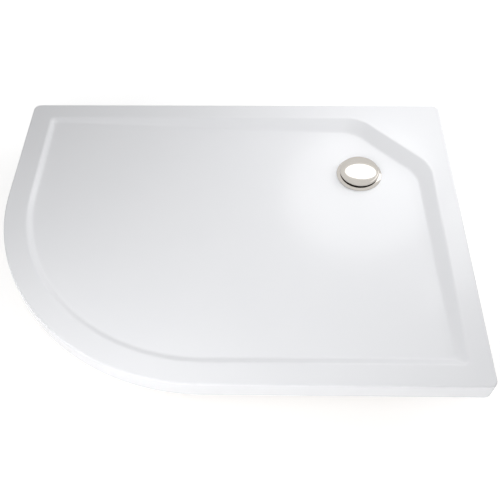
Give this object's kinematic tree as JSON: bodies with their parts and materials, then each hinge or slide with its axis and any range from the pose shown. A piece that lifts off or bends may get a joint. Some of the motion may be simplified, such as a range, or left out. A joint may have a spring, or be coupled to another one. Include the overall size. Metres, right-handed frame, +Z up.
{
  "type": "shower tray",
  "caption": "Low white offset-quadrant shower tray with a flat rim, a floor falling to a chrome dome waste, a lift-out trap insert and screw-adjustable feet.",
  "frame": {"origin": "on the floor, under the middle of the tray's 1200 x 900 mm rectangle", "axes": "+X along the long side, away from the bend; +Y towards the back wall; +Z up"},
  "size_m": [1.2, 0.9, 0.1525],
  "materials": {
    "white_acrylic": "glossy",
    "backing_resin": "rough",
    "base_board": "sealed chipboard",
    "chrome": "polished",
    "black_rubber": "matt",
    "trap_plastic": "satin",
    "pipe_plastic": "satin",
    "insert_plastic": "satin",
    "zinc_steel": "zinc plated",
    "leg_plastic": "moulded"
  },
  "bodies": {
    "tray": {"tray_skin": "white_acrylic", "resin_backing": "backing_resin", "base_board": "base_board", "waste_flange": "chrome", "flange_gasket": "black_rubber", "trap_gasket": "black_rubber", "trap_body": "trap_plastic", "outlet_seal": "black_rubber", "outlet_slip_ring": "pipe_plastic", "outlet_nut": "trap_plastic", "outlet_pipe": "pipe_plastic", "lock_nuts": "zinc_steel", "plate_screws": "zinc_steel", "rear_left_leg_plate": "leg_plastic", "rear_middle_leg_plate": "leg_plastic", "rear_right_leg_plate": "leg_plastic", "centre_leg_plate": "leg_plastic", "bend_leg_plate": "leg_plastic", "front_middle_leg_plate": "leg_plastic", "front_right_leg_plate": "leg_plastic"},
    "trap_insert": {"dip_tube": "insert_plastic", "dip_tube_seal": "black_rubber", "strainer": "insert_plastic"},
    "cover": {"dome_cover": "chrome", "cover_stem": "insert_plastic"},
    "foot_rear_left": {"rear_left_foot": "leg_plastic"},
    "spindle_rear_left": {"rear_left_spindle": "zinc_steel"},
    "foot_rear_middle": {"rear_middle_foot": "leg_plastic"},
    "spindle_rear_middle": {"rear_middle_spindle": "zinc_steel"},
    "foot_rear_right": {"rear_right_foot": "leg_plastic"},
    "spindle_rear_right": {"rear_right_spindle": "zinc_steel"},
    "foot_centre": {"centre_foot": "leg_plastic"},
    "spindle_centre": {"centre_spindle": "zinc_steel"},
    "foot_bend": {"bend_foot": "leg_plastic"},
    "spindle_bend": {"bend_spindle": "zinc_steel"},
    "foot_front_middle": {"front_middle_foot": "leg_plastic"},
    "spindle_front_middle": {"front_middle_spindle": "zinc_steel"},
    "foot_front_right": {"front_right_foot": "leg_plastic"},
    "spindle_front_right": {"front_right_spindle": "zinc_steel"}
  },
  "joints": [
    {"name": "insert_lift", "type": "slide", "parent": "tray", "child": "trap_insert", "axis": [0, 0, 1], "range_m": [0, 0.12]},
    {"name": "cover_lift", "type": "slide", "parent": "trap_insert", "child": "cover", "axis": [0, 0, 1], "range_m": [0, 0.06]},
    {"name": "rear_left_foot_drop", "type": "slide", "parent": "tray", "child": "foot_rear_left", "axis": [0, 0, -1], "range_m": [0, 0.02]},
    {"name": "rear_left_spindle_turn", "type": "hinge", "parent": "foot_rear_left", "child": "spindle_rear_left", "pos_m": [-0.49, 0.34, 0.05], "axis": [0, 0, -1], "range_deg": [0, 4115]},
    {"name": "rear_middle_foot_drop", "type": "slide", "parent": "tray", "child": "foot_rear_middle", "axis": [0, 0, -1], "range_m": [0, 0.02]},
    {"name": "rear_middle_spindle_turn", "type": "hinge", "parent": "foot_rear_middle", "child": "spindle_rear_middle", "pos_m": [0, 0.34, 0.05], "axis": [0, 0, -1], "range_deg": [0, 4115]},
    {"name": "rear_right_foot_drop", "type": "slide", "parent": "tray", "child": "foot_rear_right", "axis": [0, 0, -1], "range_m": [0, 0.02]},
    {"name": "rear_right_spindle_turn", "type": "hinge", "parent": "foot_rear_right", "child": "spindle_rear_right", "pos_m": [0.49, 0.34, 0.05], "axis": [0, 0, -1], "range_deg": [0, 4115]},
    {"name": "centre_foot_drop", "type": "slide", "parent": "tray", "child": "foot_centre", "axis": [0, 0, -1], "range_m": [0, 0.02]},
    {"name": "centre_spindle_turn", "type": "hinge", "parent": "foot_centre", "child": "spindle_centre", "pos_m": [0, 0, 0.05], "axis": [0, 0, -1], "range_deg": [0, 4115]},
    {"name": "bend_foot_drop", "type": "slide", "parent": "tray", "child": "foot_bend", "axis": [0, 0, -1], "range_m": [0, 0.02]},
    {"name": "bend_spindle_turn", "type": "hinge", "parent": "foot_bend", "child": "spindle_bend", "pos_m": [-0.36113, -0.21113, 0.05], "axis": [0, 0, -1], "range_deg": [0, 4115]},
    {"name": "front_middle_foot_drop", "type": "slide", "parent": "tray", "child": "foot_front_middle", "axis": [0, 0, -1], "range_m": [0, 0.02]},
    {"name": "front_middle_spindle_turn", "type": "hinge", "parent": "foot_front_middle", "child": "spindle_front_middle", "pos_m": [0, -0.34, 0.05], "axis": [0, 0, -1], "range_deg": [0, 4115]},
    {"name": "front_right_foot_drop", "type": "slide", "parent": "tray", "child": "foot_front_right", "axis": [0, 0, -1], "range_m": [0, 0.02]},
    {"name": "front_right_spindle_turn", "type": "hinge", "parent": "foot_front_right", "child": "spindle_front_right", "pos_m": [0.49, -0.34, 0.05], "axis": [0, 0, -1], "range_deg": [0, 4115]}
  ],
  "couplings": [
    {"joint": "rear_left_spindle_turn", "follows": "rear_left_foot_drop", "rad_per_m": 3590.4},
    {"joint": "rear_middle_spindle_turn", "follows": "rear_middle_foot_drop", "rad_per_m": 3590.4},
    {"joint": "rear_right_spindle_turn", "follows": "rear_right_foot_drop", "rad_per_m": 3590.4},
    {"joint": "centre_spindle_turn", "follows": "centre_foot_drop", "rad_per_m": 3590.4},
    {"joint": "bend_spindle_turn", "follows": "bend_foot_drop", "rad_per_m": 3590.4},
    {"joint": "front_middle_spindle_turn", "follows": "front_middle_foot_drop", "rad_per_m": 3590.4},
    {"joint": "front_right_spindle_turn", "follows": "front_right_foot_drop", "rad_per_m": 3590.4}
  ]
}
